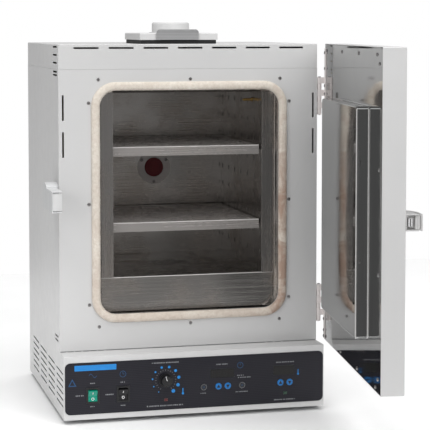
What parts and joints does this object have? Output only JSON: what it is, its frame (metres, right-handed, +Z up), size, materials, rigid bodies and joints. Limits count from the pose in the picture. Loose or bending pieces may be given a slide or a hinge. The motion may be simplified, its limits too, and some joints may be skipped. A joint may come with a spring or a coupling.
{
  "type": "laboratory drying oven",
  "caption": "Bench-top forced-air drying oven with a stainless chamber, perforated shelves, a soft gasket, a side-hinged door, an exhaust damper and a control panel in its base",
  "frame": {"origin": "on the bench surface, midway between the four feet, under the middle of the upper cabinet", "axes": "+X to the user's right when facing the door opening, +Y to the rear of the cabinet, +Z up"},
  "size_m": [0.7044, 1.1377, 0.903],
  "materials": {
    "painted_sheet": "satin powder coat, light grey",
    "zinc_sheet": "plain zinc-plated sheet",
    "foot_rubber": "matt black rubber",
    "chamber_steel": "brushed stainless, heat toned",
    "shelf_steel": "perforated stainless sheet",
    "port_steel": "brushed stainless",
    "mineral_wool": "pressed mineral wool",
    "heater_sheath": "oxidised sheathed element",
    "motor_case": "dark painted case",
    "fan_alloy": "plain sheet aluminium",
    "shaft_steel": "ground steel",
    "probe_brass": "plain brass fitting",
    "gasket_fibre": "woven heat-proof fibre sleeve",
    "screw_steel": "bright pan-head screws",
    "stopper_silicone": "dark red silicone rubber",
    "seal_rubber": "black rubber pad",
    "damper_steel": "brushed sheet",
    "hinge_steel": "stamped steel",
    "strike_metal": "light grey coated casting",
    "keeper_steel": "bright plated strip",
    "overlay_film": "printed film, near black",
    "black_plastic": "moulded black plastic",
    "green_plastic": "translucent green plastic",
    "grey_key_plastic": "dark key with a pale ring",
    "blue_key_plastic": "blue key with an arrow",
    "circuit_board": "solder-masked board",
    "door_mirror_steel": "polished stainless",
    "latch_metal": "plain die-cast",
    "bolt_chrome": "polished"
  },
  "bodies": {
    "cabinet": {"left_side_panel": "painted_sheet", "right_side_panel": "painted_sheet", "top_cap": "painted_sheet", "front_fascia": "painted_sheet", "base_front": "painted_sheet", "bottom_pan": "zinc_sheet", "rear_panel": "painted_sheet", "deck_plate": "zinc_sheet", "rubber_feet": "foot_rubber", "chamber_liner": "chamber_steel", "cabinet_insulation": "mineral_wool", "left_duct_wall": "chamber_steel", "right_duct_wall": "chamber_steel", "floor_cover": "chamber_steel", "heater_element": "heater_sheath", "fan_motor": "motor_case", "temperature_probe": "probe_brass", "door_gasket": "gasket_fibre", "cabinet_screws": "screw_steel", "shelf_clips": "chamber_steel", "port_sleeve": "port_steel", "exhaust_gasket": "seal_rubber", "exhaust_plate": "painted_sheet", "exhaust_collar": "painted_sheet", "exhaust_duct": "port_steel", "cabinet_hinge_leaves": "hinge_steel", "hinge_pins": "shaft_steel", "strike_frame": "strike_metal", "strike_keeper": "keeper_steel", "control_overlay": "overlay_film", "power_switch_body": "black_plastic", "aux_switch_body": "black_plastic", "limit_thermostat": "motor_case", "display_board": "circuit_board", "power_board": "circuit_board", "mains_inlet": "black_plastic"},
    "door": {"door_shell": "painted_sheet", "door_liner": "door_mirror_steel", "door_insulation": "mineral_wool", "door_screws": "screw_steel", "door_hinge_leaves": "hinge_steel", "latch_housing": "latch_metal", "latch_pin": "shaft_steel"},
    "fan": {"fan_wheel": "fan_alloy", "fan_shaft": "shaft_steel"},
    "upper_shelf": {"upper_shelf": "shelf_steel"},
    "lower_shelf": {"lower_shelf": "shelf_steel"},
    "port_stopper": {"port_stopper": "stopper_silicone"},
    "exhaust_damper": {"exhaust_damper": "damper_steel"},
    "power_rocker": {"power_rocker": "green_plastic"},
    "aux_rocker": {"aux_rocker": "black_plastic"},
    "limit_knob": {"limit_knob": "black_plastic"},
    "latch_handle": {"latch_handle": "latch_metal"},
    "latch_bolt": {"latch_bolt": "bolt_chrome"},
    "timer_mode_key": {"timer_mode_key": "grey_key_plastic"},
    "timer_up_key": {"timer_up_key": "blue_key_plastic"},
    "timer_down_key": {"timer_down_key": "blue_key_plastic"},
    "timer_start_key": {"timer_start_key": "grey_key_plastic"},
    "setpoint_up_key": {"setpoint_up_key": "blue_key_plastic"},
    "setpoint_down_key": {"setpoint_down_key": "blue_key_plastic"}
  },
  "joints": [
    {"name": "door_hinge", "type": "hinge", "parent": "cabinet", "child": "door", "pos_m": [0.3115, -0.2467, 0.5], "axis": [0, 0, 1], "range_deg": [-82.5, 92.5]},
    {"name": "latch_handle_pivot", "type": "hinge", "parent": "door", "child": "latch_handle", "pos_m": [0.31777, -0.86027, 0.505], "axis": [0, 0, -1], "range_deg": [-8, 0]},
    {"name": "latch_bolt_slide", "type": "slide", "parent": "door", "child": "latch_bolt", "axis": [0.1305, 0.9914, 0], "range_m": [-0.012, 0]},
    {"name": "upper_shelf_slide", "type": "slide", "parent": "cabinet", "child": "upper_shelf", "axis": [0, -1, 0], "range_m": [0, 0.3]},
    {"name": "lower_shelf_slide", "type": "slide", "parent": "cabinet", "child": "lower_shelf", "axis": [0, -1, 0], "range_m": [0, 0.3]},
    {"name": "damper_slide", "type": "slide", "parent": "cabinet", "child": "exhaust_damper", "axis": [0, -1, 0], "range_m": [0, 0.06]},
    {"name": "limit_knob_turn", "type": "hinge", "parent": "cabinet", "child": "limit_knob", "pos_m": [-0.072, -0.31, 0.0905], "axis": [0, 1, 0], "range_deg": [-136, 164]},
    {"name": "power_rocker_tilt", "type": "hinge", "parent": "cabinet", "child": "power_rocker", "pos_m": [-0.24, -0.3012, 0.0645], "axis": [-1, 0, 0], "range_deg": [0, 18]},
    {"name": "aux_rocker_tilt", "type": "hinge", "parent": "cabinet", "child": "aux_rocker", "pos_m": [-0.1705, -0.3012, 0.0645], "axis": [-1, 0, 0], "range_deg": [0, 18]},
    {"name": "timer_mode_key_press", "type": "slide", "parent": "cabinet", "child": "timer_mode_key", "axis": [0, 1, 0], "range_m": [0, 0.0006], "stiffness_N_per_m": 300},
    {"name": "timer_up_key_press", "type": "slide", "parent": "cabinet", "child": "timer_up_key", "axis": [0, 1, 0], "range_m": [0, 0.0006], "stiffness_N_per_m": 300},
    {"name": "timer_down_key_press", "type": "slide", "parent": "cabinet", "child": "timer_down_key", "axis": [0, 1, 0], "range_m": [0, 0.0006], "stiffness_N_per_m": 300},
    {"name": "timer_start_key_press", "type": "slide", "parent": "cabinet", "child": "timer_start_key", "axis": [0, 1, 0], "range_m": [0, 0.0006], "stiffness_N_per_m": 300},
    {"name": "setpoint_up_key_press", "type": "slide", "parent": "cabinet", "child": "setpoint_up_key", "axis": [0, 1, 0], "range_m": [0, 0.0006], "stiffness_N_per_m": 300},
    {"name": "setpoint_down_key_press", "type": "slide", "parent": "cabinet", "child": "setpoint_down_key", "axis": [0, 1, 0], "range_m": [0, 0.0006], "stiffness_N_per_m": 300},
    {"name": "port_stopper_pull", "type": "slide", "parent": "cabinet", "child": "port_stopper", "axis": [0, 1, 0], "range_m": [0, 0.08]},
    {"name": "fan_spin", "type": "hinge", "parent": "cabinet", "child": "fan", "pos_m": [0, -0.03, 0.2], "axis": [0, 0, 1], "continuous": true}
  ],
  "couplings": [
    {"joint": "latch_bolt_slide", "follows": "latch_handle_pivot", "m_per_rad": 0.0859}
  ]
}
